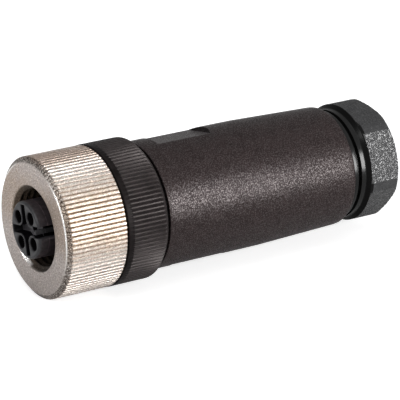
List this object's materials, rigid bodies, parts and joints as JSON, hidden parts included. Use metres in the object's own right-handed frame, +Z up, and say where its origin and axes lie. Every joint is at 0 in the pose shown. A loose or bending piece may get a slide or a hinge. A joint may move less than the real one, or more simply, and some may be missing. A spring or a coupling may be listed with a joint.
{
  "type": "m12 circular connector",
  "caption": "Straight round cable connector: knurled metal coupling nut round a socket insert, knurled grip, tapered sleeve and hexagonal cable gland.",
  "frame": {"origin": "centre of the socket insert's front face, on the connector's axis", "axes": "+X along the axis from the socket face to the cable entry; +Z up as it lies on its side; the keyway faces -Y, turned 12 degrees towards +Z"},
  "size_m": [0.0572, 0.02, 0.02],
  "materials": {
    "insert_plastic": "fine matt, moulded",
    "nickel_plate": "nickel-plated die casting, satin",
    "grip_plastic": "smooth, moulded",
    "sleeve_plastic": "spark-eroded matt",
    "gland_plastic": "spark-eroded matt",
    "terminal_plastic": "smooth, moulded",
    "cage_plastic": "natural nylon",
    "seal_rubber": "matt",
    "bush_rubber": "matt",
    "contact_gold": "gold-plated brass",
    "spring_steel": "bright spring wire",
    "screw_steel": "nickel-plated steel"
  },
  "bodies": {
    "carrier": {"socket_insert": "insert_plastic", "face_seal": "seal_rubber", "nut_retaining_ring": "spring_steel", "grip_ring": "grip_plastic", "housing_o_ring": "seal_rubber", "terminal_block": "terminal_plastic", "contact_1": "contact_gold", "contact_2": "contact_gold", "contact_3": "contact_gold", "contact_4": "contact_gold"},
    "nut": {"coupling_nut": "nickel_plate"},
    "seal_carriage": {"cable_seal": "bush_rubber"},
    "sleeve": {"housing_sleeve": "sleeve_plastic"},
    "cage_carriage": {"clamp_cage": "cage_plastic"},
    "gland": {"gland_nut": "gland_plastic"},
    "guard_1": {"wire_guard_1": "spring_steel"},
    "screw_1": {"terminal_screw_1": "screw_steel"},
    "guard_2": {"wire_guard_2": "spring_steel"},
    "screw_2": {"terminal_screw_2": "screw_steel"},
    "guard_3": {"wire_guard_3": "spring_steel"},
    "screw_3": {"terminal_screw_3": "screw_steel"},
    "guard_4": {"wire_guard_4": "spring_steel"},
    "screw_4": {"terminal_screw_4": "screw_steel"}
  },
  "joints": [
    {"name": "nut_spin", "type": "hinge", "parent": "carrier", "child": "nut", "pos_m": [0.00575, 0, 0], "axis": [1, 0, 0], "continuous": true},
    {"name": "sleeve_travel", "type": "slide", "parent": "carrier", "child": "seal_carriage", "axis": [1, 0, 0], "range_m": [0, 0.006]},
    {"name": "sleeve_turn", "type": "hinge", "parent": "seal_carriage", "child": "sleeve", "pos_m": [0.0334, 0, 0], "axis": [1, 0, 0], "range_deg": [0, 2160]},
    {"name": "gland_travel", "type": "slide", "parent": "sleeve", "child": "cage_carriage", "axis": [1, 0, 0], "range_m": [0, 0.006]},
    {"name": "gland_turn", "type": "hinge", "parent": "cage_carriage", "child": "gland", "pos_m": [0.05, 0, 0], "axis": [1, 0, 0], "range_deg": [0, 1440]},
    {"name": "guard_1_travel", "type": "slide", "parent": "carrier", "child": "guard_1", "axis": [0, -0.5446, 0.8387], "range_m": [0, 0.001]},
    {"name": "screw_1_turn", "type": "hinge", "parent": "guard_1", "child": "screw_1", "pos_m": [0.0269, -0.003, 0.00461], "axis": [0, -0.5446, 0.8387], "range_deg": [0, 900]},
    {"name": "guard_2_travel", "type": "slide", "parent": "carrier", "child": "guard_2", "axis": [0, 0.8387, 0.5446], "range_m": [0, 0.001]},
    {"name": "screw_2_turn", "type": "hinge", "parent": "guard_2", "child": "screw_2", "pos_m": [0.0269, 0.00461, 0.003], "axis": [0, 0.8387, 0.5446], "range_deg": [0, 900]},
    {"name": "guard_3_travel", "type": "slide", "parent": "carrier", "child": "guard_3", "axis": [0, 0.5446, -0.8387], "range_m": [0, 0.001]},
    {"name": "screw_3_turn", "type": "hinge", "parent": "guard_3", "child": "screw_3", "pos_m": [0.0269, 0.003, -0.00461], "axis": [0, 0.5446, -0.8387], "range_deg": [0, 900]},
    {"name": "guard_4_travel", "type": "slide", "parent": "carrier", "child": "guard_4", "axis": [0, -0.8387, -0.5446], "range_m": [0, 0.001]},
    {"name": "screw_4_turn", "type": "hinge", "parent": "guard_4", "child": "screw_4", "pos_m": [0.0269, -0.00461, -0.003], "axis": [0, -0.8387, -0.5446], "range_deg": [0, 900]}
  ],
  "couplings": [
    {"joint": "sleeve_turn", "follows": "sleeve_travel", "rad_per_m": 6283.2},
    {"joint": "gland_turn", "follows": "gland_travel", "rad_per_m": 4188.8},
    {"joint": "screw_1_turn", "follows": "guard_1_travel", "rad_per_m": 15708},
    {"joint": "screw_2_turn", "follows": "guard_2_travel", "rad_per_m": 15708},
    {"joint": "screw_3_turn", "follows": "guard_3_travel", "rad_per_m": 15708},
    {"joint": "screw_4_turn", "follows": "guard_4_travel", "rad_per_m": 15708}
  ]
}
